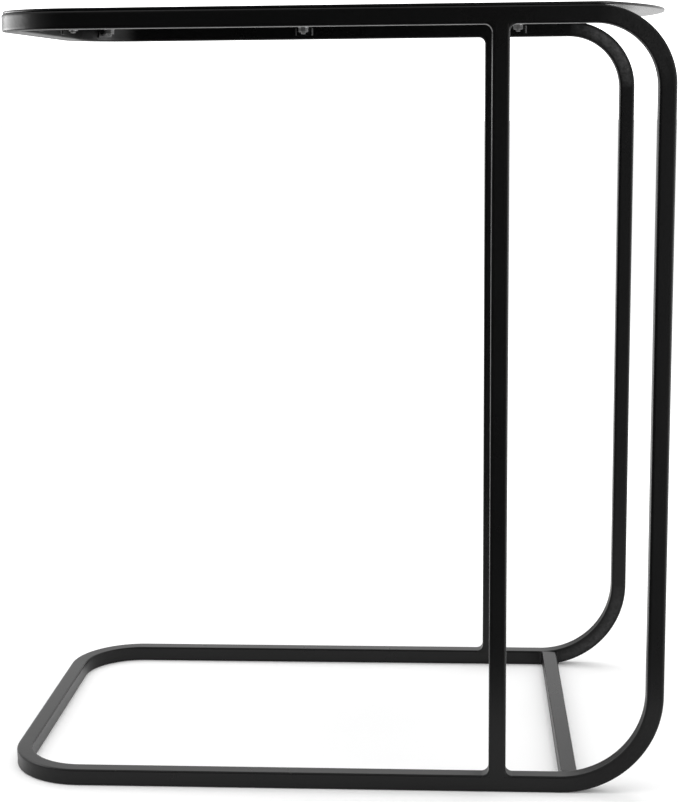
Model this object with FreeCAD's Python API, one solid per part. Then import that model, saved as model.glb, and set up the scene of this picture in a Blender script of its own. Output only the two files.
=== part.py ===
import FreeCAD, Part
import math
import os

from FreeCAD import Placement, Rotation, Vector

# C-shaped side table in millimetres. The origin is on the floor under the middle of the table.
# +X runs from the open front to the uprights, +Y to the right side, +Z up. Left and right are
# as seen from behind the uprights, looking towards the open front.

# Frame, to the outer faces of its tubes. The top ends a little behind the floor loop's front.
frame_length = 475.0
frame_width = 300.0
table_height = 550.0
top_setback = 11.0

# Square tube that the whole frame is made of, with eased edges
tube_size = 12.0
tube_wall = 1.2
tube_edge = 1.0

# Bends of the tube, measured to their outer face
base_corner_radius = 56.0
top_corner_radius = 56.0
lower_bend_radius = 72.0
upper_bend_radius = 54.0

# Seam between the two bent halves, in the uprights
seam_height = 270.0
seam_gap = 1.2

# Posts, from the uprights' rear face to their middle, and the crossbar, past the lower bends' start
post_setback = 116.5
crossbar_lap = 7.0

# Top plate on the rails, with a rear edge that bows out between the upper bends
plate_thickness = 2.0
plate_inset = 1.0
plate_side_setback = 47.0
plate_overhang = 6.0
plate_rear_corner_radius = 12.0
plate_edge_share = 0.25

# Bent tabs that hold the plate. The corner tabs stand in the bends, turned by an angle in degrees.
lug_width = 12.0
lug_thickness = 2.0
lug_drop = 9.0
lug_inner_bend_radius = 1.0
lug_hole_to_tip = 6.5
lug_tip_share = 0.3
corner_lug_turn = 40.0
front_lug_offset = 39.0
middle_lug_setback = 271.5
rear_lug_setback = 96.0

# Threaded stud under the plate and its flange nut, with their clearances all round
stud_diameter = 4.0
stud_tail = 1.6
stud_hole_clearance = 0.25
nut_bore_clearance = 0.1
nut_side_clearance = 0.8
nut_across_flats = 7.0
nut_height = 4.4
nut_flange_diameter = 9.4
nut_flange_thickness = 1.0

# Weld beads: leg along each face, and how far the concave face stays from the root
post_weld_leg = 5.0
crossbar_weld_leg = 2.5
lug_weld_leg = 1.5
weld_throat_share = 0.48

# One overrun serves all cuts, and one tolerance tells edges apart
cut_overrun = 1.0
edge_tolerance = 0.001

# Places that follow from the sizes above
front_x = -(frame_length + plate_overhang) / 2
rear_x = front_x + frame_length
side_y = frame_width / 2
rail_top_z = table_height - plate_thickness
rail_under_z = rail_top_z - tube_size
inner_y = side_y - tube_size
top_front_x = front_x + top_setback
inner_front_x = top_front_x + tube_size
bend_wall_radius = top_corner_radius - tube_size
post_x = rear_x - post_setback
tube_flat = tube_size - 2 * tube_edge
crossbar_x = rear_x - lower_bend_radius + crossbar_lap
lug_hole_reach = lug_thickness + lug_inner_bend_radius + nut_flange_diameter / 2 + nut_side_clearance
lug_reach = lug_hole_reach + lug_hole_to_tip
stud_length = lug_thickness + nut_height + stud_tail

UP = Vector(0, 0, 1)
LEFT = -1
RIGHT = 1
SIDE_NAMES = {LEFT: "left", RIGHT: "right"}


def closed_face(edges):
    """Planar face inside a closed chain of edges."""
    return Part.Face(Part.Wire(Part.__sortEdges__(edges)))


def polygon_face(points):
    """Planar face inside straight lines from point to point."""
    return Part.Face(Part.makePolygon(points + points[:1]))


def arc_edge(start, middle, end):
    """Circular edge through three points."""
    return Part.Arc(start, middle, end).toShape()


def line_edge(start, end):
    """Straight edge between two points."""
    return Part.LineSegment(start, end).toShape()


def tube_section(centre, direction):
    """Square ring across the tube's direction, its sides along the table's axes."""
    half = tube_size / 2
    hollow = half - tube_wall
    outer = []
    inner = []
    for quarter in range(4):
        turn = Rotation(UP, 90 * quarter)
        outer.append(turn.multVec(Vector(half, -tube_flat / 2, 0)))
        outer.append(turn.multVec(Vector(half, tube_flat / 2, 0)))
        inner.append(turn.multVec(Vector(hollow, hollow, 0)))
    section = polygon_face(outer).cut(polygon_face(inner)).Faces[0]
    section.Placement = Placement(centre, Rotation(UP, direction))
    return section


def straight_tube(start, end):
    """Square tube with square-cut ends."""
    return tube_section(start, end - start).extrude(end - start)


def bent_tube(corners, outer_radii):
    """Square tube along a line of corners, each inner corner bent to its outer radius."""
    pieces = []
    run_start = corners[0]
    for index, outer_radius in enumerate(outer_radii):
        corner = corners[index + 1]
        radius = outer_radius - tube_size / 2
        arriving = (corner - corners[index]).normalize()
        leaving = (corners[index + 2] - corner).normalize()
        bend_start = corner - arriving * radius
        bend_centre = bend_start + leaving * radius
        pieces.append(straight_tube(run_start, bend_start))
        section = tube_section(bend_start, arriving)
        turn = math.degrees(arriving.getAngle(leaving))
        pieces.append(section.revolve(bend_centre, arriving.cross(leaving), turn))
        run_start = corner + leaving * radius
    pieces.append(straight_tube(run_start, corners[-1]))
    return pieces[0].multiFuse(pieces[1:]).removeSplitter()


def hoop(end_x, seam_z, rail_z, bend_radius, corner_radius):
    """Half of the frame's loop: from the left upright's seam, round the front end, to the right one's."""
    rear = rear_x - tube_size / 2
    front = end_x + tube_size / 2
    side = side_y - tube_size / 2
    corners = [Vector(rear, -side, seam_z), Vector(rear, -side, rail_z), Vector(front, -side, rail_z)]
    corners += [Vector(front, side, rail_z), Vector(rear, side, rail_z), Vector(rear, side, seam_z)]
    return bent_tube(corners, [bend_radius, corner_radius, corner_radius, bend_radius])


def base_hoop():
    """Floor loop with the lower halves of the uprights."""
    return hoop(front_x, seam_height - seam_gap / 2, tube_size / 2, lower_bend_radius, base_corner_radius)


def top_hoop():
    """Loop under the plate with the upper halves of the uprights."""
    rail_z = rail_top_z - tube_size / 2
    return hoop(top_front_x, seam_height + seam_gap / 2, rail_z, upper_bend_radius, top_corner_radius)


def upright_butt_welds():
    """Rings of weld metal that close the seams, dressed flush with the tube."""
    rings = []
    for side in (LEFT, RIGHT):
        start = Vector(rear_x - tube_size / 2, side * (side_y - tube_size / 2), seam_height - seam_gap / 2)
        rings.append(straight_tube(start, start + UP * seam_gap))
    return Part.makeCompound(rings)


def post(side):
    """Straight tube from the base rail to the top rail, flush with their sides."""
    foot = Vector(post_x, side * (side_y - tube_size / 2), tube_size)
    return straight_tube(foot, foot + UP * (rail_under_z - tube_size))


def base_crossbar():
    """Straight tube between the base rails, as high as they are."""
    left_end = Vector(crossbar_x, -inner_y, tube_size / 2)
    return straight_tube(left_end, left_end + Vector(0, 2 * inner_y, 0))


def weld_bead(root, first, second, leg, run):
    """Concave bead in the corner between two faces, from its root along the run."""
    middle = root + (first + second).normalize() * leg * weld_throat_share
    start = root + first * leg
    end = root + second * leg
    edges = [line_edge(root, start), arc_edge(start, middle, end), line_edge(end, root)]
    return closed_face(edges).extrude(run)


def flush_fill(edge_corner, inward, downward, run):
    """Weld metal in the groove over a tube's eased edge, flush with the joined faces."""
    points = [edge_corner, edge_corner + inward * tube_edge, edge_corner + downward * tube_edge]
    return polygon_face(points).extrude(run)


def post_weld(side, rail_z, upward):
    """Beads fore and aft of a post's end, and the fills along its two sides."""
    solids = []
    away = UP * upward
    across = Vector(0, tube_flat, 0)
    start_y = side * (side_y - tube_size / 2) - tube_flat / 2
    for fore_aft in (-1, 1):
        root = Vector(post_x + fore_aft * tube_size / 2, start_y, rail_z)
        solids.append(weld_bead(root, Vector(fore_aft, 0, 0), away, post_weld_leg, across))
    along = Vector(tube_flat, 0, 0)
    for face_y, inward_y in ((side * side_y, -side), (side * inner_y, side)):
        corner = Vector(post_x - tube_flat / 2, face_y, rail_z)
        solids.append(flush_fill(corner, Vector(0, inward_y, 0), -away, along))
    return Part.makeCompound(solids)


def crossbar_weld(side):
    """Upright beads fore and aft of a crossbar's end."""
    beads = []
    inward = Vector(0, -side, 0)
    for fore_aft in (-1, 1):
        root = Vector(crossbar_x + fore_aft * tube_size / 2, side * inner_y, tube_edge)
        beads.append(weld_bead(root, Vector(fore_aft, 0, 0), inward, crossbar_weld_leg, UP * tube_flat))
    return Part.makeCompound(beads)


def top_plate():
    """Thin plate with rounded front corners, a bowed rear edge and eased rims."""
    half_width = side_y - plate_inset
    front = top_front_x + plate_inset
    radius = top_corner_radius - plate_inset
    side_end = rear_x - plate_side_setback
    apex = rear_x + plate_overhang
    level = Vector(0, 0, rail_top_z)
    diagonal = radius * math.sqrt(0.5)
    edges = []
    for side in (LEFT, RIGHT):
        centre = Vector(front + radius, side * (half_width - radius), 0)
        on_front = centre - Vector(radius, 0, 0)
        on_side = centre + Vector(0, side * radius, 0)
        edges.append(arc_edge(on_front, centre + Vector(-diagonal, side * diagonal, 0), on_side))
        edges.append(line_edge(on_side, Vector(side_end, side * half_width, 0)))
    front_left = Vector(front, radius - half_width, 0)
    edges.append(line_edge(front_left, Vector(front, half_width - radius, 0)))
    rear_left = Vector(side_end, -half_width, 0)
    edges.append(arc_edge(rear_left, Vector(apex, 0, 0), Vector(side_end, half_width, 0)))
    outline = closed_face(edges)
    outline.translate(level)
    plate = outline.extrude(UP * plate_thickness)
    upright_edges = [edge for edge in plate.Edges if stands_upright(edge)]
    rear_corners = [edge for edge in upright_edges if same(edge.CenterOfMass.x, side_end)]
    plate = plate.makeFillet(plate_rear_corner_radius, rear_corners)
    rims = [edge for edge in plate.Edges if not stands_upright(edge)]
    return plate.makeChamfer(plate_thickness * plate_edge_share, rims)


def same(first, second):
    """True for two lengths that agree within the tolerance."""
    return math.isclose(first, second, abs_tol=edge_tolerance)


def stands_upright(edge):
    """True for an edge that climbs as far as it is long."""
    return same(edge.BoundBox.ZLength, edge.Length)


def lug_places():
    """Node name of each lug, the point on its rail under the plate, and its turn about Z."""
    rail_lug_x = {"middle": rear_x - middle_lug_setback, "rear": rear_x - rear_lug_setback}
    places = {}
    for side in (LEFT, RIGHT):
        turn = 0 if side == LEFT else 180
        for where, x in rail_lug_x.items():
            name = SIDE_NAMES[side] + "_" + where + "_lug"
            places[name] = Placement(Vector(x, side * inner_y, rail_top_z), Rotation(UP, turn))
        name = "front_" + SIDE_NAMES[side] + "_lug"
        on_front_bar = Vector(inner_front_x, side * front_lug_offset, rail_top_z)
        places[name] = Placement(on_front_bar, Rotation(UP, -90))
        places[corner_lug_name(side)] = corner_lug_place(side, turn)
    return places


def corner_lug_name(side):
    """Node name of the lug in a front corner."""
    return SIDE_NAMES[side] + "_front_lug"


def corner_lug_place(side, turn):
    """Place on a front bend's inner wall, turned from the side rail towards the front."""
    facing = Rotation(UP, turn + side * corner_lug_turn)
    bend_centre = Vector(top_front_x + top_corner_radius, side * (side_y - top_corner_radius), rail_top_z)
    return Placement(bend_centre - facing.multVec(Vector(0, bend_wall_radius, 0)), facing)


def fitted(shape, name):
    """Shape trimmed to the bend's inner wall where its lug stands in a corner."""
    if name not in (corner_lug_name(LEFT), corner_lug_name(RIGHT)):
        return shape
    foot = Vector(0, bend_wall_radius, -lug_drop - cut_overrun)
    return shape.common(Part.makeCylinder(bend_wall_radius, lug_drop + 2 * cut_overrun, foot))


def lug():
    """Tab bent to an L: one leg on the rail's inner face, the other under the plate, pointing to +Y."""
    outer_radius = lug_inner_bend_radius + lug_thickness
    bend_centre = Vector(0, outer_radius, -outer_radius)
    toward_bend = Vector(0, -1, 1).normalize()
    start = Vector(0, 0, -lug_drop)
    profile = [
        line_edge(start, Vector(0, 0, -outer_radius)),
        arc_edge(
            Vector(0, 0, -outer_radius),
            bend_centre + toward_bend * outer_radius,
            Vector(0, outer_radius, 0),
        ),
        line_edge(Vector(0, outer_radius, 0), Vector(0, lug_reach, 0)),
        line_edge(Vector(0, lug_reach, 0), Vector(0, lug_reach, -lug_thickness)),
        line_edge(Vector(0, lug_reach, -lug_thickness), Vector(0, outer_radius, -lug_thickness)),
        arc_edge(
            Vector(0, outer_radius, -lug_thickness),
            bend_centre + toward_bend * lug_inner_bend_radius,
            Vector(0, lug_thickness, -outer_radius),
        ),
        line_edge(Vector(0, lug_thickness, -outer_radius), Vector(0, lug_thickness, -lug_drop)),
        line_edge(Vector(0, lug_thickness, -lug_drop), start),
    ]
    section = closed_face(profile)
    section.translate(Vector(-lug_width / 2, 0, 0))
    tab = section.extrude(Vector(lug_width, 0, 0))
    upright_edges = [edge for edge in tab.Edges if stands_upright(edge)]
    tips = [edge for edge in upright_edges if same(edge.CenterOfMass.y, lug_reach)]
    tab = tab.makeFillet(lug_width * lug_tip_share, tips)
    hole_start = Vector(0, lug_hole_reach, -lug_thickness - cut_overrun)
    hole_length = lug_thickness + 2 * cut_overrun
    return tab.cut(Part.makeCylinder(stud_diameter / 2 + stud_hole_clearance, hole_length, hole_start))


def lug_beads():
    """Beads beside a lug's upright leg."""
    beads = []
    height = lug_drop - lug_inner_bend_radius - lug_thickness
    for end in (-1, 1):
        root = Vector(end * lug_width / 2, 0, -lug_drop)
        beads.append(weld_bead(root, Vector(end, 0, 0), Vector(0, 1, 0), lug_weld_leg, UP * height))
    return Part.makeCompound(beads)


def stud():
    """Threaded stud that hangs from the plate through a lug's hole."""
    return Part.makeCylinder(stud_diameter / 2, stud_length, Vector(0, lug_hole_reach, -stud_length))


def nut():
    """Hexagon flange nut drawn up under a lug."""
    flange_z = -lug_thickness - nut_flange_thickness
    low_z = -lug_thickness - nut_height
    corner = nut_across_flats / math.sqrt(3)
    points = []
    for step in range(6):
        angle = math.radians(60 * step)
        points.append(Vector(corner * math.cos(angle), lug_hole_reach + corner * math.sin(angle), low_z))
    hexagon = polygon_face(points).extrude(UP * (flange_z - low_z))
    axis_foot = Vector(0, lug_hole_reach, flange_z)
    flange = Part.makeCylinder(nut_flange_diameter / 2, nut_flange_thickness, axis_foot)
    bore_foot = Vector(0, lug_hole_reach, low_z - cut_overrun)
    bore_radius = stud_diameter / 2 + nut_bore_clearance
    bore = Part.makeCylinder(bore_radius, nut_height + 2 * cut_overrun, bore_foot)
    return hexagon.fuse(flange).cut(bore).removeSplitter()


def at_every_lug(shape, places):
    """Copies of a shape at each lug, as one group of separate solids."""
    copies = [placed(fitted(shape, name), place) for name, place in places.items()]
    return Part.makeCompound([solid for copy in copies for solid in copy.Solids])


def placed(shape, place):
    """Copy of a shape moved to its place."""
    copy = shape.copy()
    copy.Placement = place.multiply(copy.Placement)
    return copy


def table_parts():
    """Every sub-part by its node name."""
    parts = {
        "base_hoop": base_hoop(),
        "top_hoop": top_hoop(),
        "upright_butt_welds": upright_butt_welds(),
        "base_crossbar": base_crossbar(),
        "top_plate": top_plate(),
    }
    for side in (LEFT, RIGHT):
        name = SIDE_NAMES[side]
        parts[name + "_post"] = post(side)
        parts[name + "_post_base_weld"] = post_weld(side, tube_size, 1)
        parts[name + "_post_top_weld"] = post_weld(side, rail_under_z, -1)
        parts["crossbar_" + name + "_weld"] = crossbar_weld(side)
    places = lug_places()
    for name, place in places.items():
        parts[name] = placed(fitted(lug(), name), place)
    parts["lug_welds"] = at_every_lug(lug_beads(), places)
    parts["plate_studs"] = at_every_lug(stud(), places)
    parts["plate_nuts"] = at_every_lug(nut(), places)
    return parts


os.makedirs("parts", exist_ok=True)
for node, shape in table_parts().items():
    shape.exportStep("parts/" + node + ".step")
    print(node, "solids", len(shape.Solids), "volume", round(shape.Volume, 1), "valid", shape.isValid())
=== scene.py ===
"""Looks of the C-shaped side table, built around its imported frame. All lengths are metres."""

import math

import bpy
import numpy as np
from mathutils import Matrix, Vector


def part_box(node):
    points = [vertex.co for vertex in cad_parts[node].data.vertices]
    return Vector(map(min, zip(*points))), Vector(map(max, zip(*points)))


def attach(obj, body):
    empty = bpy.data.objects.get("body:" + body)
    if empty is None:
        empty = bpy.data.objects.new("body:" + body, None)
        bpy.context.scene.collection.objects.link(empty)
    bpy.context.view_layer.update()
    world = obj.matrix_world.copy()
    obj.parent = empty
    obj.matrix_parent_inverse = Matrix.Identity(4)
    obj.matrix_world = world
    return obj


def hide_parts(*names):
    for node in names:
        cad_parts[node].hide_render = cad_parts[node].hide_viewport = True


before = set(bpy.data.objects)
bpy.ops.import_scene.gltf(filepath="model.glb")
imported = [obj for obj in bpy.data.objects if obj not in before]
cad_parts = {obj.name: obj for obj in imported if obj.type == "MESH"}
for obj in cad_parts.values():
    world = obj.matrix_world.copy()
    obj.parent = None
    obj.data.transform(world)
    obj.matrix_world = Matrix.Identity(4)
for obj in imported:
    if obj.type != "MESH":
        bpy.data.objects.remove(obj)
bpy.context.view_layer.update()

MM = 0.001
SIXTH_TURN = math.pi / 3
QUARTER_TURN = math.pi / 2
FULL_TURN = 2 * math.pi

# Bent tube: outer radii of the bends, rounding of its edges, and how far a bend draws its walls in
BASE_CORNER = 56 * MM
TOP_CORNER = 56 * MM
LOWER_BEND = 72 * MM
UPPER_BEND = 54 * MM
EDGE_ROUND = 1.3 * MM
BEND_SINK = 0.08 * MM

# Share of the bender's dents that shows in the walls of the rear bends and of the level corners
REAR_DENTS = 1.0
CORNER_DENTS = 0.2

# Painted sheen: a lighter grey painted on the inner side walls, standing in for light they reflect: its share
# in the upper and lower rear bends and in the level corners, how much of it lies on the wall's middle line,
# and its gain from there to the bend's outside
UPPER_PAINTED_SHEEN = 1.0
LOWER_PAINTED_SHEEN = 0.3
CORNER_PAINTED_SHEEN = 0.0
PAINTED_SHEEN_EVEN = 0.75
PAINTED_SHEEN_LEAN = 0.6

# Grid steps of the tube's surface: across a flat, round an edge and along a bend
FLAT_POINTS = 9
ROUND_POINTS = 5
BEND_STATIONS = 41

# Welds: grid steps round the corner and across the bead, how far its sides tuck in under the tubes' flats,
# and the low ripple that the coat leaves showing
WELD_POINTS = 15
BEAD_POINTS = 17
WELD_TUCK = 0.05 * MM
RIPPLE_HEIGHT = 0.05 * MM
RIPPLE_PITCH = 1.7 * MM

# Plate: where its straight sides end, its rear corners, the easing of its rim and the flat border inside it,
# and grid steps along its bowed edge, its rear corners and its front corners
PLATE_SIDE_SETBACK = 47 * MM
PLATE_REAR_CORNER = 12 * MM
PLATE_RIM = 0.6 * MM
PLATE_BORDER = 3 * MM
BOW_POINTS = 97
REAR_CORNER_POINTS = 13
FRONT_CORNER_POINTS = 33

# Studs: their reach inwards from the rail, the corner lugs' turn in degrees, the thread, and grid steps
STUD_REACH = 8.5 * MM
CORNER_LUG_TURN = 40
THREAD_PITCH = 0.7 * MM
THREAD_DEPTH = 0.36 * MM
STUD_POINTS = 32
STUD_LEVELS = 120

# Nuts: width over flats, bore, bevel at the bore's ends, the cone that cuts the lower corners, as its least
# radius over half the flats and its rise over its width, and grid steps round the nut and up the cone
NUT_FLATS = 7 * MM
NUT_BORE = 4.2 * MM
NUT_BEVEL = 0.35 * MM
NUT_CONE_START = 0.94
NUT_CONE_RISE = 0.55
NUT_POINTS = 72
NUT_CONE_LEVELS = 7

# The nuts' flange: its height, how far below it the hexagon ends, the width and rise of its dished edge,
# where its upright rim starts, and the width and height of the rim's broken edge
FLANGE_HEIGHT = 1.0 * MM
HEXAGON_END = 0.1 * MM
DISH_WIDTH = 0.5 * MM
DISH_RISE = 0.2 * MM
RIM_START = 0.5 * MM
RIM_BREAK_WIDTH = 0.15 * MM
RIM_BREAK_HEIGHT = 0.1 * MM

# Turns in degrees from which an edge is shaded sharp
SHARP_ANGLE = 40
NUT_SHARP_ANGLE = 30

# Powder coat: its black, the grey of chips, the lighter grey of the painted sheen, its gloss, and the least
# and most roughness of its sheen
COAT_BLACK = (0.0028, 0.0028, 0.0029)
CHIP_GREY = (0.030, 0.029, 0.028, 1)
PAINTED_SHEEN_GREY = (0.135, 0.135, 0.136, 1)
COAT_SPECULAR = 0.24
COAT_ROUGHNESS = (0.265, 0.300)

# What changes the coat's roughness: a worn edge, the dents, and a grazing look, which over its range brings
# the roughness to these shares of itself on the frame and on the plate
EDGE_POLISH = -0.05
DENT_DULLING = 0.30
GRAZE_RANGE = (0.7, 1.0)
FRAME_GRAZE = 1.5
PLATE_GRAZE = 0.7

# Grain of the coat on frame and plate, as a noise scale, and the width of an orange-peel wave in grains
FRAME_GRAIN = 1100.0
PLATE_GRAIN = 900.0
PEEL_WIDTH = 6

# Noises of the coat: detail and roughness of grain and peel, then scale, detail and roughness of the sheen's
# clouds, of the flecks that chip an edge, and of the bender's dents, which also make the painted sheen patchy
GRAIN_NOISE = (3.0, 0.6)
PEEL_NOISE = (2.0, 0.5)
SHEEN_NOISE = (14.0, 4.0, 0.5)
FLECK_NOISE = (260.0, 5.0, 0.7)
DENT_NOISE = (240.0, 3.0, 0.6)

# Ranges of those noises over which the sheen changes, chips grow and the painted sheen gets patchy, the
# shares of painted sheen at the ends of its range, and the shares of black in the grain
WHOLE = (0.0, 1.0)
SHEEN_RANGE = (0.3, 0.7)
CHIP_RANGE = (0.60, 0.72)
PAINTED_SHEEN_PATCH_RANGE = (0.35, 0.65)
PAINTED_SHEEN_PATCH_SHARES = (0.4, 1.0)
GRAIN_TONES = (0.75, 1.25)

# Bumps of the coat, each as strength and depth: dents, orange peel and grain
DENT_BUMP = (1.0, 0.45 * MM)
PEEL_BUMP = (0.30, 0.06 * MM)
GRAIN_BUMP = (0.50, 0.05 * MM)

# Zinc: its blue and straw casts, its least and most roughness, the noises of its clouds and of its turning
# marks, and the marks' bump
ZINC_BLUE = (0.18, 0.19, 0.205, 1)
ZINC_STRAW = (0.25, 0.24, 0.225, 1)
ZINC_ROUGHNESS = (0.32, 0.50)
ZINC_NOISE = (420.0, 3.0, 0.5)
TURNING_NOISE = (3200.0, 2.0, 0.5)
TURNING_BUMP = (0.2, 0.02 * MM)

# Camera: its place, its turns in degrees, its focal length in pixels, and the picture's longer side
CAMERA_PLACE = (0.0885, -1.3515, 0.4914)
CAMERA_PITCH = 9.83
CAMERA_YAW = 3.80
CAMERA_ROLL = -0.57
FOCAL_PIXELS = 1772.7
PICTURE_HEIGHT = 802

# Floor: the white sheet's reach, clearance under the frame, front edge, shade, roughness and glow
WHITE = (1, 1, 1, 1)
FLOOR_REACH = 30.0
FLOOR_DROP = 0.1 * MM
FLOOR_FRONT = 0.35
FLOOR_SHADE = 0.90
FLOOR_ROUGHNESS = 0.9
FLOOR_GLOW = 0.11

# Soft light overhead, which stays out of the gloss: its place, size and power
OVERHEAD_PLACE = (0, 0.4, 2.6)
OVERHEAD_SIZE = (2.4, 2.4)
OVERHEAD_WATTS = 36

# Strip light off the top's open end, which shows only in the gloss: its place, size, power and what it faces
STRIP_PLACE = (-0.665, 0.02, 0.505)
STRIP_SIZE = (0.55, 0.13)
STRIP_WATTS = 2.05
STRIP_AIM = (-0.18, -0.10, 0.505)

# Surroundings: the sky's axis, the cosines off it where it starts and is full, and its least and most
# radiance; then the same for two cards at the right, towards the camera, which show only in the gloss, each
# with the rises where it ends and is full
SKY = ((0.0, 0.8, 0.6), -0.75, 0.0, 0.04, 1.08)
CARDS = (
    (((0.95, -0.30, 0.0), 0.86, 0.97, 0.0, 6.0), (0.06, 0.00)),
    (((0.71, -0.71, 0.0), 0.76, 0.95, 0.0, 2.9), (0.12, 0.04)),
)

# Sizes and places read from the frame
base_low, base_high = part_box("base_hoop")
top_low, top_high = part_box("top_hoop")
seam_low, seam_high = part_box("upright_butt_welds")
post_low, post_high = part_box("left_post")
post_weld_low, post_weld_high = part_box("left_post_base_weld")
crossbar_low, crossbar_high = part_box("base_crossbar")
bead_low, bead_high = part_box("crossbar_left_weld")
plate_low, plate_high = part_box("top_plate")
stud_low, stud_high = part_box("plate_studs")
nut_low, nut_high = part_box("plate_nuts")
TUBE = crossbar_high.z - crossbar_low.z
HALF = TUBE / 2
FLAT = HALF - EDGE_ROUND
REAR_X = base_high.x - HALF
SIDE_Y = base_high.y - HALF
POST_X = (post_low.x + post_high.x) / 2
POST_WELD_LEG = (post_weld_high.x - post_weld_low.x - TUBE) / 2
CROSSBAR_MIDDLE = (crossbar_low + crossbar_high) / 2
CROSSBAR_WELD_LEG = (bead_high.x - bead_low.x - TUBE) / 2

X_AXIS = np.array([1.0, 0.0, 0.0])
Y_AXIS = np.array([0.0, 1.0, 0.0])
Z_AXIS = np.array([0.0, 0.0, 1.0])


def ring_quads(rings, columns, bands):
    """Quads of a stack of rings whose points are numbered ring by ring, in bands from each ring to the next.

    The last point of a ring is followed by its first one, and the last ring by the first."""
    ring = np.arange(bands)[:, None]
    column = np.arange(columns)[None]
    next_ring = (ring + 1) % rings
    next_column = (column + 1) % columns
    corners = ((ring, column), (ring, next_column), (next_ring, next_column), (next_ring, column))
    return np.stack([row * columns + place for row, place in corners], -1).reshape(-1, 4)


def signed_volume(points, quads):
    """Sum over the quads of the tetrahedra to the origin: positive where the faces point outwards."""
    a, b, c, d = (points[quads[:, k]] for k in range(4))
    halves = np.einsum("ij,ij->i", a, np.cross(b, c)) + np.einsum("ij,ij->i", a, np.cross(c, d))
    return halves.sum() / 6


def ring_surface(grid, capped=True):
    """Surface through rings of points, as its points and blocks of faces that point outwards.

    A capped one has a flat face on its first and last ring. Another joins its last ring to its first."""
    rings, columns = grid.shape[:2]
    points = grid.reshape(-1, 3)
    faces = [ring_quads(rings, columns, rings - 1 if capped else rings)]
    if capped:
        first = np.arange(columns)
        faces.append(np.stack([first[::-1], first + (rings - 1) * columns]))
    if signed_volume(points - points.mean(0), faces[0]) < 0:
        faces = [block[:, ::-1] for block in faces]
    return points, faces


def joined(surfaces):
    """Several surfaces as one, with the later ones' point numbers moved up."""
    starts = np.cumsum([0] + [len(points) for points, _ in surfaces])
    faces = [block + start for start, (_, blocks) in zip(starts, surfaces) for block in blocks]
    return np.concatenate([points for points, _ in surfaces]), faces


def add_piece(name, surface, material, slot, node, sharp_angle=SHARP_ANGLE, **marks):
    """Object of a surface at the origin, which rides the frame and stands for a CAD node.

    Each of the marks is a number per point that the materials read by its name."""
    points, faces = surface
    mesh = bpy.data.meshes.new(name)
    mesh.from_pydata(points.tolist(), [], [face for block in faces for face in block.tolist()])
    mesh.shade_smooth()
    mesh.set_sharp_from_angle(angle=math.radians(sharp_angle))
    for mark, values in marks.items():
        mesh.attributes.new(mark, "FLOAT", "POINT").data.foreach_set("value", values)
    mesh.materials.append(material)
    thing = bpy.data.objects.new(name, mesh)
    bpy.context.scene.collection.objects.link(thing)
    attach(thing, "root")
    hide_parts(node)


def tube_section():
    """Section of the square tube: four flats joined by quarter circles.

    Returns its points, the outward side of the flat that each lies on, how far towards the middle of that
    flat it is (one at the middle, none on the rounding) and how far it is out on an edge."""
    across = np.linspace(-FLAT, FLAT, FLAT_POINTS)
    angle = np.linspace(0, QUARTER_TURN, ROUND_POINTS + 2)[1:-1]
    flat = np.stack([np.full_like(across, HALF), across], -1)
    corner = FLAT + EDGE_ROUND * np.stack([np.cos(angle), np.sin(angle)], -1)
    quarter = np.concatenate([flat, corner])
    crown = np.concatenate([1 - (across / FLAT) ** 2, np.zeros(ROUND_POINTS)])
    edge = np.concatenate([np.zeros(FLAT_POINTS), np.sin(2 * angle)])
    points, sides = [], []
    for turn in range(4):
        cos, sin = math.cos(turn * QUARTER_TURN), math.sin(turn * QUARTER_TURN)
        points.append(quarter @ np.array([[cos, sin], [-sin, cos]]))
        sides.append(np.tile([cos, sin], (len(quarter), 1)))
    return np.concatenate(points), np.concatenate(sides), np.tile(crown, 4), np.tile(edge, 4)


def bent_line(corners, bends):
    """Stations of a line whose corners are quarter circles.

    At angle t of a bend with middle m and radius r, the centre is m + r (arriving sin t - leaving cos t), and
    both section axes turn with t about the bend's axis. Each bend has an outer radius, a share of dents and a
    share of painted sheen. Returns centres, both axes, and the bend's outward pull, dents and painted sheen,
    which are none on straight runs."""
    corners = np.array(corners, float)
    runs = np.diff(corners, axis=0)
    runs /= np.linalg.norm(runs, axis=1, keepdims=True)
    first = np.cross(runs[0], runs[1])
    second = np.cross(runs[0], first)
    no_pull, none = np.zeros((1, 3)), np.zeros((1, 1))
    centres, firsts, seconds = [corners[:1]], [first[None]], [second[None]]
    pulls, dents, painted_sheens = [no_pull], [none], [none]
    angle = np.linspace(0, QUARTER_TURN, BEND_STATIONS)[:, None]
    bulge = np.abs(np.sin(2 * angle))
    strain = np.sqrt(bulge)
    for index, (outer_radius, dent_share, painted_sheen_share) in enumerate(bends):
        radius = outer_radius - HALF
        arriving, leaving = runs[index], runs[index + 1]
        middle = corners[index + 1] + radius * (leaving - arriving)
        outward = arriving * np.sin(angle) - leaving * np.cos(angle)
        axis = np.cross(arriving, leaving)
        centres.append(middle + radius * outward)
        pulls.append(outward * strain)
        dents.append(bulge * dent_share)
        painted_sheens.append(strain * painted_sheen_share)
        for vectors, vector in ((firsts, first), (seconds, second)):
            along = axis * (axis @ vector)
            vectors.append(along + (vector - along) * np.cos(angle) + np.cross(axis, vector) * np.sin(angle))
        first, second = firsts[-1][-1], seconds[-1][-1]
    centres.append(corners[-1:])
    firsts.append(first[None])
    seconds.append(second[None])
    pulls.append(no_pull)
    dents.append(none)
    painted_sheens.append(none)
    return tuple(np.concatenate(rows)[:, None] for rows in (centres, firsts, seconds, pulls, dents, painted_sheens))


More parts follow.
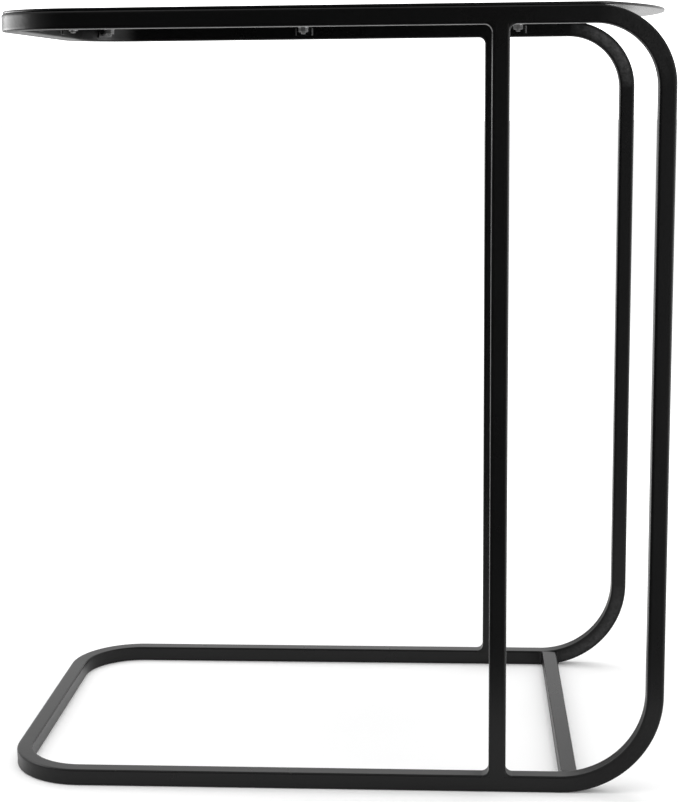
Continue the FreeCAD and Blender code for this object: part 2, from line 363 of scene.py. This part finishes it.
def bent_tube(corners, bends):
    """The tube's section carried along a bent line; in a bend the outer and inner flats sink towards it.

    The painted sheen, a lighter grey standing in for reflected light, lies on the flat that faces the table's
    middle. It fades towards the flat's edges as an ellipse does, and is heavier on the bend's outer half."""
    section, sides, crown, edge = tube_section()
    centres, firsts, seconds, pulls, dents, painted_sheens = bent_line(corners, bends)
    offset = firsts * section[:, :1] + seconds * section[:, 1:]
    facing = firsts * sides[:, :1] + seconds * sides[:, 1:]
    sink = BEND_SINK * crown * np.abs((facing * pulls).sum(-1))
    grid = centres + offset - facing * sink[..., None]
    inward = np.clip(-np.sign(centres[..., 1]) * facing[..., 1], 0, 1)
    outer_half = np.clip(PAINTED_SHEEN_EVEN + PAINTED_SHEEN_LEAN * (offset * pulls).sum(-1) / HALF, 0, 1)
    marks = {
        "edge_wear": np.tile(edge, len(centres)),
        "bend_dents": np.repeat(dents.ravel(), len(section)),
        # Painted sheen: lighter grey painted where the bends' inner walls reflect light
        "painted_sheen": (painted_sheens[..., 0] * inward * np.sqrt(crown) * outer_half).ravel(),
    }
    return ring_surface(grid), marks


def half_loop(front_x, seam_z, rail_z, rear_bend, corner_bend):
    """Half the frame's loop, from the left upright's seam round the front to the right one's."""
    sides = [(REAR_X, seam_z), (REAR_X, rail_z), (front_x + HALF, rail_z)]
    left = [(x, -SIDE_Y, z) for x, z in sides]
    right = [(x, SIDE_Y, z) for x, z in reversed(sides)]
    return bent_tube(left + right, [rear_bend, corner_bend, corner_bend, rear_bend])


def straight_tube(start, end):
    """The tube's section carried along one straight run."""
    section, _, _, edge = tube_section()
    start, end = np.array(start, float), np.array(end, float)
    run = (end - start) / np.linalg.norm(end - start)
    first = np.abs(np.roll(run, 1))
    second = np.cross(run, first)
    ring = first * section[:, :1] + second * section[:, 1:]
    return ring_surface(np.stack([start + ring, end + ring])), {"edge_wear": np.tile(edge, 2)}


def weld_saddle(root, along, up, across, leg):
    """Concave weld in the corner between a rail and a tube that stands on it, as broad as the tube.

    At angle t from the rail, a point lies at (leg - (leg + inset) sin t, leg - (leg + inset) cos t). The
    inset grows from none on the bead's face to the edge rounding at its sides, so that the bead carries the
    tubes' rounded edges round the corner. A low ripple runs across the face. A ruled patch then fills each
    side back to the tubes' flats and tucks in there."""
    angle = np.linspace(0, QUARTER_TURN, WELD_POINTS)
    share = angle / QUARTER_TURN
    lean = np.linspace(0, QUARTER_TURN, ROUND_POINTS + 2)
    side_depth = FLAT + EDGE_ROUND * np.cos(lean)
    side_inset = EDGE_ROUND * (1 - np.sin(lean))
    face_depth = np.linspace(-FLAT, FLAT, BEAD_POINTS + 2)[1:-1]
    depth = np.concatenate([-side_depth, face_depth, side_depth[::-1]])
    inset = np.concatenate([side_inset, np.zeros(BEAD_POINTS), side_inset[::-1]])
    ripple = RIPPLE_HEIGHT * np.cos(FULL_TURN * depth / RIPPLE_PITCH)[None] * np.sin(2 * angle)[:, None]
    reach = leg + inset[None] - np.where(inset == 0, ripple, 0)
    out = leg - reach * np.sin(angle)[:, None]
    rise = leg - reach * np.cos(angle)[:, None]
    tuck = EDGE_ROUND + WELD_TUCK
    back_out = leg - (leg + tuck) * np.clip(2 * share, 0, 1)
    back_rise = (leg + tuck) * np.clip(2 * share - 1, 0, 1) - tuck
    out = np.concatenate([back_out[:, None], out, back_out[:, None]], 1)
    rise = np.concatenate([back_rise[:, None], rise, back_rise[:, None]], 1)
    depth = np.concatenate([[WELD_TUCK - HALF], depth, [HALF - WELD_TUCK]])
    grid = root + out[..., None] * along + rise[..., None] * up + depth[None, :, None] * across
    return ring_surface(grid)


def flush_fill(centre, along, up, outward):
    """Shallow block that fills the groove under a tube's flat side, flush with the side."""
    ring = np.array([[-1, -1], [1, -1], [1, 0], [-1, 0]]) * [FLAT, EDGE_ROUND]
    face = centre + ring[:, :1] * along + ring[:, 1:] * up
    return ring_surface(np.stack([face - outward * EDGE_ROUND, face]))


def post_weld(side, rail_z, away):
    """Saddles fore and aft of a post's end, and the fills along its two sides."""
    up = Z_AXIS * away
    foot = np.array([POST_X, side * SIDE_Y, rail_z])
    saddles, fills = [], []
    for turn in (-1, 1):
        saddles.append(weld_saddle(foot + turn * HALF * X_AXIS, turn * X_AXIS, up, Y_AXIS, POST_WELD_LEG))
        fills.append(flush_fill(foot + turn * HALF * Y_AXIS, X_AXIS, up, turn * Y_AXIS))
    return joined(saddles + fills)


def crossbar_weld(side):
    """Upright saddles fore and aft of a crossbar's end, as high as the bar."""
    end = np.array([CROSSBAR_MIDDLE.x, side * (SIDE_Y - HALF), CROSSBAR_MIDDLE.z])
    up = -side * Y_AXIS
    saddles = []
    for turn in (-1, 1):
        saddles.append(weld_saddle(end + turn * HALF * X_AXIS, turn * X_AXIS, up, Z_AXIS, CROSSBAR_WELD_LEG))
    return joined(saddles)


def arc(centre, radius, start, end, steps):
    """Points and outward directions on a circle's arc between two angles, in a level plane."""
    angle = np.linspace(start, end, steps)
    outward = np.stack([np.cos(angle), np.sin(angle)], -1)
    return np.array(centre) + radius * outward, outward


def plate_outline():
    """Outline of the plate and its outward directions, from the bowed rear edge round by the right side.

    The bow is a circle through both side ends and the apex. Each rear corner is a smaller circle inside it
    that touches it and the straight side. Every arc leaves out its first point."""
    half_width = plate_high.y
    side_end = base_high.x - PLATE_SIDE_SETBACK
    rise = plate_high.x - side_end
    bow = (half_width ** 2 + rise ** 2) / (2 * rise)
    bow_x = plate_high.x - bow
    corner_y = half_width - PLATE_REAR_CORNER
    corner_x = bow_x + math.sqrt((bow - PLATE_REAR_CORNER) ** 2 - corner_y ** 2)
    meet = math.atan2(corner_y, corner_x - bow_x)
    front_radius = TOP_CORNER - (plate_low.x - top_low.x)
    front_x = plate_low.x + front_radius
    front_y = half_width - front_radius
    right, front, left = QUARTER_TURN, 2 * QUARTER_TURN, 3 * QUARTER_TURN
    arcs = [
        arc((bow_x, 0), bow, -meet, meet, BOW_POINTS),
        arc((corner_x, corner_y), PLATE_REAR_CORNER, meet, right, REAR_CORNER_POINTS),
        arc((front_x, front_y), front_radius, right, front, FRONT_CORNER_POINTS),
        arc((front_x, -front_y), front_radius, front, left, FRONT_CORNER_POINTS),
        arc((corner_x, -corner_y), PLATE_REAR_CORNER, left, FULL_TURN - meet, REAR_CORNER_POINTS),
    ]
    points = np.concatenate([part[1:] for part, _ in arcs])
    outward = np.concatenate([part[1:] for _, part in arcs])
    return points, outward


def plate_surface():
    """The rim's profile carried round the outline: edges rounded above and below, and a border inside."""
    outline, outward = plate_outline()
    lean = np.linspace(0, QUARTER_TURN, ROUND_POINTS + 2)
    inset = np.concatenate([[PLATE_BORDER], PLATE_RIM * (1 - np.sin(lean))])
    height = np.concatenate([[0], PLATE_RIM * (1 - np.cos(lean))])
    wear = np.concatenate([[0], np.sin(2 * lean)])
    inset, wear = np.concatenate([inset, inset[::-1]]), np.concatenate([wear, wear[::-1]])
    level = np.concatenate([plate_low.z + height, plate_high.z - height[::-1]])
    flat = outline[None] - inset[:, None, None] * outward[None]
    tall = np.broadcast_to(level[:, None, None], (*flat.shape[:2], 1))
    return ring_surface(np.concatenate([flat, tall], -1)), {"edge_wear": np.repeat(wear, len(outline))}


def lug_axes():
    """Level place of each stud: its reach inwards from the rail face that its lug is welded to.

    A corner lug stands square to its bend's inner wall, so its stud lies on a smaller circle about the
    bend's middle."""
    axes = []
    turn = math.radians(CORNER_LUG_TURN)
    ring = TOP_CORNER - TUBE - STUD_REACH
    centre_x, centre_y = top_low.x + TOP_CORNER, SIDE_Y + HALF - TOP_CORNER
    for name, side in (("left", -1), ("right", 1)):
        for where in ("middle", "rear"):
            low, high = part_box(f"{name}_{where}_lug")
            axes.append(((low.x + high.x) / 2, side * (SIDE_Y - HALF - STUD_REACH)))
        low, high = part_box(f"front_{name}_lug")
        axes.append((low.x + STUD_REACH, (low.y + high.y) / 2))
        axes.append((centre_x - ring * math.sin(turn), side * (centre_y + ring * math.cos(turn))))
    return np.array(axes)


def stud_surface():
    """Threaded studs, whose radius falls and rises once a pitch along the axis.

    The wave turns with the angle. At the lower end it is cut by a cone that starts at the thread's root and
    widens as it rises."""
    axes = lug_axes()
    crest = stud_high.y - axes[:, 1].max()
    angle = np.linspace(0, FULL_TURN, STUD_POINTS, endpoint=False)[None]
    level = np.linspace(stud_low.z, stud_high.z, STUD_LEVELS)[:, None]
    phase = (level / THREAD_PITCH - angle / FULL_TURN) % 1
    thread = crest - THREAD_DEPTH * (1 - np.abs(2 * phase - 1))
    radius = np.minimum(thread, crest - THREAD_DEPTH + (level - stud_low.z))
    level = np.broadcast_to(level, radius.shape)
    rings = np.stack([radius * np.cos(angle), radius * np.sin(angle), level], -1)
    return joined([ring_surface(rings + np.array([x, y, 0])) for x, y in axes])


def nut_surface():
    """Flange nuts: a profile carried round each stud, which closes on itself through the bevelled bore.

    The hexagon's radius is half the flats over the cosine from the nearest flat, cut at its lower corners by
    a cone that widens as it rises. Above it the flange dishes out to its rim."""
    axes = lug_axes()
    angle = np.linspace(0, FULL_TURN, NUT_POINTS, endpoint=False)
    half_flats = NUT_FLATS / 2
    hexagon = half_flats / np.cos(angle % SIXTH_TURN - SIXTH_TURN / 2)
    face = half_flats * NUT_CONE_START
    cone = np.linspace(0, 1, NUT_CONE_LEVELS) * (hexagon.max() - face)
    bore = NUT_BORE / 2
    rim = nut_high.y - axes[:, 1].max()
    flange_low = nut_high.z - FLANGE_HEIGHT
    profile = [
        (bore, nut_high.z - NUT_BEVEL),
        (bore, nut_low.z + NUT_BEVEL),
        (bore + NUT_BEVEL, nut_low.z),
        *((np.minimum(hexagon, face + width), nut_low.z + width * NUT_CONE_RISE) for width in cone),
        (hexagon, flange_low - HEXAGON_END),
        (rim - DISH_WIDTH, flange_low + DISH_RISE),
        (rim, flange_low + RIM_START),
        (rim, nut_high.z - RIM_BREAK_HEIGHT),
        (rim - RIM_BREAK_WIDTH, nut_high.z),
        (bore + NUT_BEVEL, nut_high.z),
    ]
    radius = np.stack([np.broadcast_to(row, angle.shape) for row, _ in profile])
    level = np.stack([np.broadcast_to(row, angle.shape) for _, row in profile])
    rings = np.stack([radius * np.cos(angle), radius * np.sin(angle), level], -1)
    return joined([ring_surface(rings + np.array([x, y, 0]), capped=False) for x, y in axes])


class Nodes:
    """Short ways to add linked nodes to the node tree of a finish or of the surroundings."""

    def __init__(self, tree):
        self.tree = tree

    def feed(self, node, inputs):
        """Links the inputs that are given as another node's output, and sets the others."""
        for key, value in inputs.items():
            if isinstance(value, bpy.types.NodeSocket):
                self.tree.links.new(value, node.inputs[key])
            else:
                node.inputs[key].default_value = value

    def add(self, kind, output, inputs, **settings):
        """One output of a new node, once its settings are made and its inputs fed."""
        node = self.tree.nodes.new(kind)
        for key, value in settings.items():
            setattr(node, key, value)
        self.feed(node, inputs)
        return node.outputs[output]

    def noise(self, place, scale, detail, roughness):
        """Noise over a place."""
        inputs = {"Vector": place, "Scale": scale, "Detail": detail, "Roughness": roughness}
        return self.add("ShaderNodeTexNoise", "Fac", inputs)

    def mark(self, name):
        """Number that the piece's points carry under a name."""
        return self.add("ShaderNodeAttribute", "Fac", {}, attribute_name=name)

    def reckon(self, operation, *values):
        """Sum, product, or product of two values plus a third."""
        return self.add("ShaderNodeMath", "Value", dict(enumerate(values)), operation=operation)

    def spread(self, value, source, target, **settings):
        """Value carried from one range to another, and held at its ends."""
        ends = {"From Min": source[0], "From Max": source[1], "To Min": target[0], "To Max": target[1]}
        return self.add("ShaderNodeMapRange", "Result", {"Value": value, **ends}, **settings)

    def tint(self, share, first, second):
        """First colour with a share of the second."""
        inputs = {"Factor": share, "A": first, "B": second}
        return self.add("ShaderNodeMix", "Result", inputs, data_type="RGBA")

    def bump(self, height, strength, depth, **below):
        """Normal that a height gives, over the Normal below it if there is one."""
        inputs = {"Height": height, "Strength": strength, "Distance": depth}
        return self.add("ShaderNodeBump", "Normal", {**inputs, **below})


def new_finish(name):
    """New node material, its nodes and its Principled shader."""
    material = bpy.data.materials.new(name)
    material.use_nodes = True
    tree = material.node_tree
    return material, Nodes(tree), tree.nodes["Principled BSDF"]


def powder_coat(name, grain_scale, graze_share):
    """Satin powder coat on Object coordinates.

    Its black varies with a fine grain. Worn edges have grey chips, and a patchy lighter grey is painted on
    the bends' inner walls as painted sheen. Its sheen is uneven, a little brighter on worn edges, and dull in
    the dents that bending leaves. The bump is grain over orange peel over those dents."""
    material, nodes, shader = new_finish(name)
    place = nodes.add("ShaderNodeTexCoord", "Object", {})
    grain = nodes.noise(place, grain_scale, *GRAIN_NOISE)
    peel = nodes.noise(place, grain_scale / PEEL_WIDTH, *PEEL_NOISE)
    clouds = nodes.noise(place, *SHEEN_NOISE)
    flecks = nodes.noise(place, *FLECK_NOISE)
    dents = nodes.noise(place, *DENT_NOISE)
    worn = nodes.mark("edge_wear")
    painted_sheen_mark = nodes.mark("painted_sheen")
    dented = nodes.mark("bend_dents")

    tone = nodes.spread(grain, WHOLE, GRAIN_TONES)
    black = nodes.add("ShaderNodeVectorMath", "Vector", {0: COAT_BLACK, "Scale": tone}, operation="SCALE")
    # Painted sheen: patchy lighter grey on the bends' inner walls, standing in for reflected light
    painted_sheen_patches = nodes.reckon("MULTIPLY", painted_sheen_mark, nodes.spread(dents, PAINTED_SHEEN_PATCH_RANGE, PAINTED_SHEEN_PATCH_SHARES))
    chips = nodes.reckon("MULTIPLY", worn, nodes.spread(flecks, CHIP_RANGE, WHOLE))
    colour = nodes.tint(chips, nodes.tint(painted_sheen_patches, black, PAINTED_SHEEN_GREY), CHIP_GREY)

    sheen = nodes.spread(clouds, SHEEN_RANGE, COAT_ROUGHNESS)
    polished = nodes.reckon("MULTIPLY_ADD", worn, EDGE_POLISH, sheen)
    turned_away = nodes.add("ShaderNodeLayerWeight", "Facing", {})
    grazed = nodes.reckon("MULTIPLY", polished, nodes.spread(turned_away, GRAZE_RANGE, (1.0, graze_share)))
    roughness = nodes.reckon("MULTIPLY_ADD", dented, DENT_DULLING, grazed)

    pressed = nodes.bump(nodes.reckon("MULTIPLY", dented, dents), *DENT_BUMP)
    waves = nodes.bump(peel, *PEEL_BUMP, Normal=pressed)
    normal = nodes.bump(grain, *GRAIN_BUMP, Normal=waves)
    nodes.feed(shader, {"Base Color": colour, "Roughness": roughness, "Normal": normal})
    nodes.feed(shader, {"Specular IOR Level": COAT_SPECULAR})
    return material


def zinc_plate():
    """Dull zinc: metal with a faint blue and straw cast, fine turning marks and dulled patches."""
    material, nodes, shader = new_finish("zinc_plate")
    place = nodes.add("ShaderNodeTexCoord", "Object", {})
    clouds = nodes.noise(place, *ZINC_NOISE)
    turning = nodes.noise(place, *TURNING_NOISE)
    nodes.feed(shader, {
        "Base Color": nodes.tint(clouds, ZINC_BLUE, ZINC_STRAW),
        "Metallic": 1.0,
        "Roughness": nodes.spread(clouds, WHOLE, ZINC_ROUGHNESS),
        "Normal": nodes.bump(turning, *TURNING_BUMP),
    })
    return material


frame_coat = powder_coat("frame_coat", FRAME_GRAIN, FRAME_GRAZE)
plate_coat = powder_coat("plate_coat", PLATE_GRAIN, PLATE_GRAZE)
zinc = zinc_plate()


def frame_piece(name, surface, node, **marks):
    """Coated piece of the frame."""
    add_piece(name, surface, frame_coat, "frame_coat", node, **marks)


# Each bend: outer radius, share of dents, and share of painted sheen
rear_bend, corner_bend = (LOWER_BEND, REAR_DENTS, LOWER_PAINTED_SHEEN), (BASE_CORNER, CORNER_DENTS, CORNER_PAINTED_SHEEN)
surface, marks = half_loop(base_low.x, seam_low.z, base_low.z + HALF, rear_bend, corner_bend)
frame_piece("floor_loop", surface, "base_hoop", **marks)
rear_bend, corner_bend = (UPPER_BEND, REAR_DENTS, UPPER_PAINTED_SHEEN), (TOP_CORNER, CORNER_DENTS, CORNER_PAINTED_SHEEN)
surface, marks = half_loop(top_low.x, seam_high.z, top_high.z - HALF, rear_bend, corner_bend)
frame_piece("top_loop", surface, "top_hoop", **marks)

seams = [straight_tube((REAR_X, y, seam_low.z), (REAR_X, y, seam_high.z)) for y in (-SIDE_Y, SIDE_Y)]
surface = joined([seam for seam, _ in seams])
wear = np.concatenate([marks["edge_wear"] for _, marks in seams])
frame_piece("upright_seams", surface, "upright_butt_welds", edge_wear=wear)

for name, side in (("left", -1), ("right", 1)):
    y = side * SIDE_Y
    surface, marks = straight_tube((POST_X, y, post_low.z), (POST_X, y, post_high.z))
    frame_piece(f"{name}_post_tube", surface, f"{name}_post", **marks)
    frame_piece(f"{name}_post_foot_weld", post_weld(side, post_low.z, 1), f"{name}_post_base_weld")
    frame_piece(f"{name}_post_head_weld", post_weld(side, post_high.z, -1), f"{name}_post_top_weld")
    frame_piece(f"{name}_crossbar_beads", crossbar_weld(side), f"crossbar_{name}_weld")

x, z = CROSSBAR_MIDDLE.x, CROSSBAR_MIDDLE.z
surface, marks = straight_tube((x, crossbar_low.y, z), (x, crossbar_high.y, z))
frame_piece("crossbar_tube", surface, "base_crossbar", **marks)

surface, marks = plate_surface()
add_piece("table_plate", surface, plate_coat, "plate_coat", "top_plate", **marks)
add_piece("threaded_studs", stud_surface(), zinc, "zinc", "plate_studs")
add_piece("flange_nuts", nut_surface(), zinc, "zinc", "plate_nuts", NUT_SHARP_ANGLE)

# The lugs and their beads stay as CAD nodes and get the frame's coat
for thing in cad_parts.values():
    if not thing.hide_render:
        thing.data.materials.clear()
        thing.data.materials.append(frame_coat)


def white_floor():
    """White sheet under the table, open towards the camera."""
    left, right, front, back = -FLOOR_REACH, FLOOR_REACH, -FLOOR_FRONT, FLOOR_REACH
    corners = [(x, y, -FLOOR_DROP) for x, y in ((left, front), (right, front), (right, back), (left, back))]
    mesh = bpy.data.meshes.new("floor")
    mesh.from_pydata(corners, [], [(0, 1, 2, 3)])
    material, nodes, shader = new_finish("floor_white")
    nodes.feed(shader, {
        "Base Color": (FLOOR_SHADE, FLOOR_SHADE, FLOOR_SHADE, 1),
        "Roughness": FLOOR_ROUGHNESS,
        "Specular IOR Level": 0.0,
        "Emission Color": WHITE,
        "Emission Strength": FLOOR_GLOW,
    })
    mesh.materials.append(material)
    floor = bpy.data.objects.new("floor", mesh)
    bpy.context.scene.collection.objects.link(floor)


def soft_light(name, place, size, watts):
    """Rectangular light at a place, which shines straight down until it is turned."""
    lamp = bpy.data.lights.new(name, "AREA")
    lamp.shape = "RECTANGLE"
    lamp.size, lamp.size_y = size
    lamp.energy = watts
    light = bpy.data.objects.new(name, lamp)
    light.location = place
    bpy.context.scene.collection.objects.link(light)
    return light


def studio_lights():
    """Broad soft light overhead, kept out of the gloss, and the strip light, which shows only in it."""
    overhead = soft_light("overhead", OVERHEAD_PLACE, OVERHEAD_SIZE, OVERHEAD_WATTS)
    overhead.visible_glossy = False
    strip = soft_light("strip", STRIP_PLACE, STRIP_SIZE, STRIP_WATTS)
    strip.rotation_euler = (Vector(STRIP_AIM) - Vector(STRIP_PLACE)).to_track_quat("-Z", "Y").to_euler()
    strip.visible_camera = False
    strip.visible_diffuse = False


def surroundings():
    """Radiance by direction: white behind and above, dim on the camera's side, and two cards at the right.

    Each fades smoothly with the cosine of the angle from its axis, and a card also with its rise. The camera
    itself sees plain white."""
    world = bpy.data.worlds.new("studio")
    bpy.context.scene.world = world
    world.use_nodes = True
    tree = world.node_tree
    nodes = Nodes(tree)
    direction = nodes.add("ShaderNodeTexCoord", "Generated", {})

    def fade(axis, start, full, least, most):
        cosine = nodes.add("ShaderNodeVectorMath", "Value", {0: direction, 1: axis}, operation="DOT_PRODUCT")
        return nodes.spread(cosine, (start, full), (least, most), interpolation_type="SMOOTHSTEP")

    path = tree.nodes.new("ShaderNodeLightPath").outputs
    total = nodes.reckon("ADD", fade(*SKY), path["Is Camera Ray"])
    for card, rise in CARDS:
        lit = nodes.reckon("MULTIPLY", fade(*card), fade(Z_AXIS, *rise, *WHOLE))
        total = nodes.reckon("ADD", total, nodes.reckon("MULTIPLY", lit, path["Is Glossy Ray"]))
    nodes.feed(tree.nodes["Background"], {"Color": WHITE, "Strength": total})


def camera():
    """Camera at the photograph's place, turned by its yaw, pitch and roll."""
    pitch, yaw, roll = (math.radians(turn) for turn in (CAMERA_PITCH, CAMERA_YAW, CAMERA_ROLL))
    forward = Vector((-math.sin(yaw) * math.cos(pitch), math.cos(yaw) * math.cos(pitch), -math.sin(pitch)))
    level = Vector((math.cos(yaw), math.sin(yaw), 0))
    upward = level.cross(forward)
    right = math.cos(roll) * level + math.sin(roll) * upward
    up = math.cos(roll) * upward - math.sin(roll) * level
    data = bpy.data.cameras.new("camera")
    data.sensor_fit = "AUTO"
    data.lens = FOCAL_PIXELS * data.sensor_width / PICTURE_HEIGHT
    thing = bpy.data.objects.new("camera", data)
    turned = Matrix((right, up, -forward)).transposed().to_4x4()
    thing.matrix_world = Matrix.Translation(CAMERA_PLACE) @ turned
    bpy.context.scene.collection.objects.link(thing)
    bpy.context.scene.camera = thing


white_floor()
studio_lights()
surroundings()
camera()
bpy.context.scene.view_settings.view_transform = "Standard"
